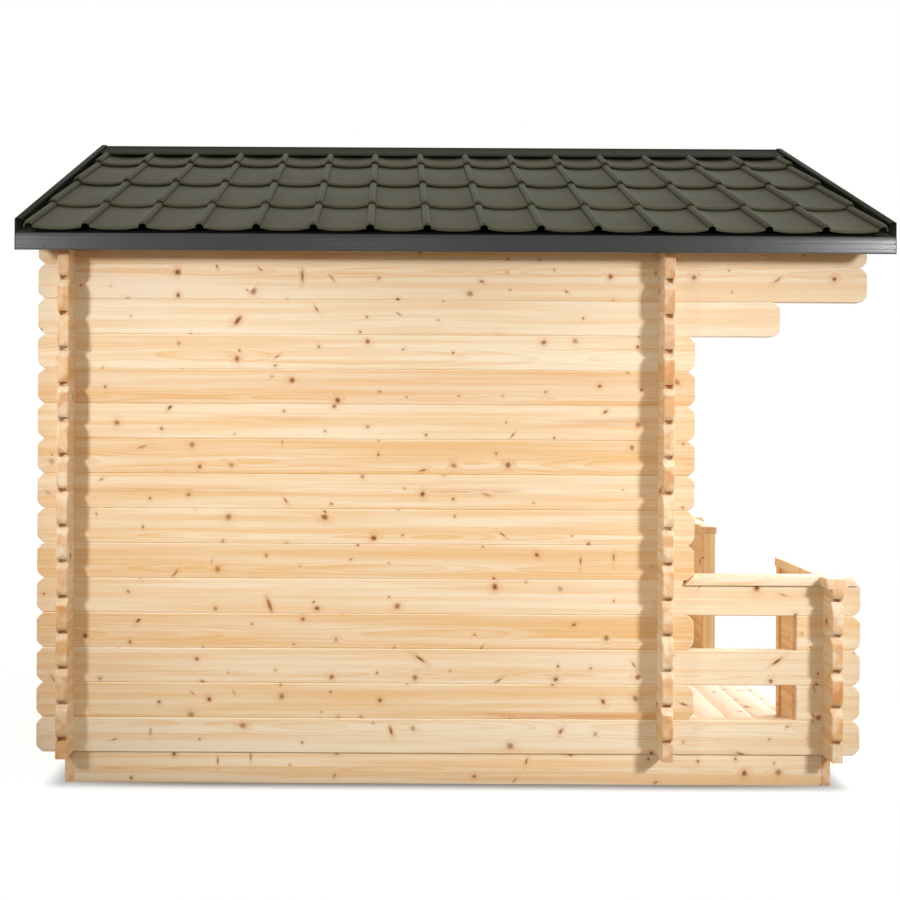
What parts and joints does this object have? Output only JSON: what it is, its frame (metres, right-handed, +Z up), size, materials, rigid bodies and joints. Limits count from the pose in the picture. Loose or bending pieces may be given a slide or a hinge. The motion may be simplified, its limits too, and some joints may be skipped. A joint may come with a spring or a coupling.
{
  "type": "outdoor sauna cabin",
  "caption": "Small log cabin with notched corners, a gable roof of metal tiles, a railed porch at one end and a glazed door.",
  "frame": {"origin": "middle of the roof's plan, at ground level", "axes": "+X along the ridge towards the porch, +Z up, +Y across the cabin"},
  "size_m": [3.28, 2.72, 2.7173],
  "materials": {
    "spruce_logs": "planed, untreated",
    "planed_timber": "planed, untreated",
    "base_timber": "planed, untreated",
    "roof_boards": "planed, untreated",
    "roof_tiles": "satin, dark olive grey",
    "roof_trim": "satin, dark grey",
    "door_wood": "planed, untreated",
    "door_glass": "clear, faint grey tint",
    "hinge_steel": "zinc plated"
  },
  "bodies": {
    "root": {"base_cross_beams": "base_timber", "base_side_beams": "base_timber", "door_frame": "door_wood", "door_glass": "door_glass", "door_handle": "door_wood", "door_hinges": "hinge_steel", "door_leaf": "door_wood", "door_threshold": "door_wood", "front_verge_trims": "roof_trim", "front_wall_even_logs": "spruce_logs", "front_wall_odd_logs": "spruce_logs", "left_corner_stubs": "spruce_logs", "left_eave_fascia": "roof_trim", "left_front_cap": "planed_timber", "left_rail_end_post": "planed_timber", "left_rail_even_logs": "spruce_logs", "left_rail_odd_logs": "spruce_logs", "left_roof_boards": "roof_boards", "left_side_cap": "planed_timber", "left_tile_sheet": "roof_tiles", "left_top_log": "spruce_logs", "left_wall_even_logs": "spruce_logs", "left_wall_odd_logs": "spruce_logs", "porch_floor": "base_timber", "porch_joists": "base_timber", "purlins": "spruce_logs", "rear_verge_trims": "roof_trim", "rear_wall_even_logs": "spruce_logs", "rear_wall_odd_logs": "spruce_logs", "ridge_beam": "spruce_logs", "ridge_cap": "roof_tiles", "right_corner_stubs": "spruce_logs", "right_eave_fascia": "roof_trim", "right_front_cap": "planed_timber", "right_rail_end_post": "planed_timber", "right_rail_even_logs": "spruce_logs", "right_rail_odd_logs": "spruce_logs", "right_roof_boards": "roof_boards", "right_side_cap": "planed_timber", "right_tile_sheet": "roof_tiles", "right_top_log": "spruce_logs", "right_wall_even_logs": "spruce_logs", "right_wall_odd_logs": "spruce_logs", "roof_battens": "roof_boards", "sauna_floor": "base_timber", "sauna_joists": "base_timber"}
  },
  "joints": []
}
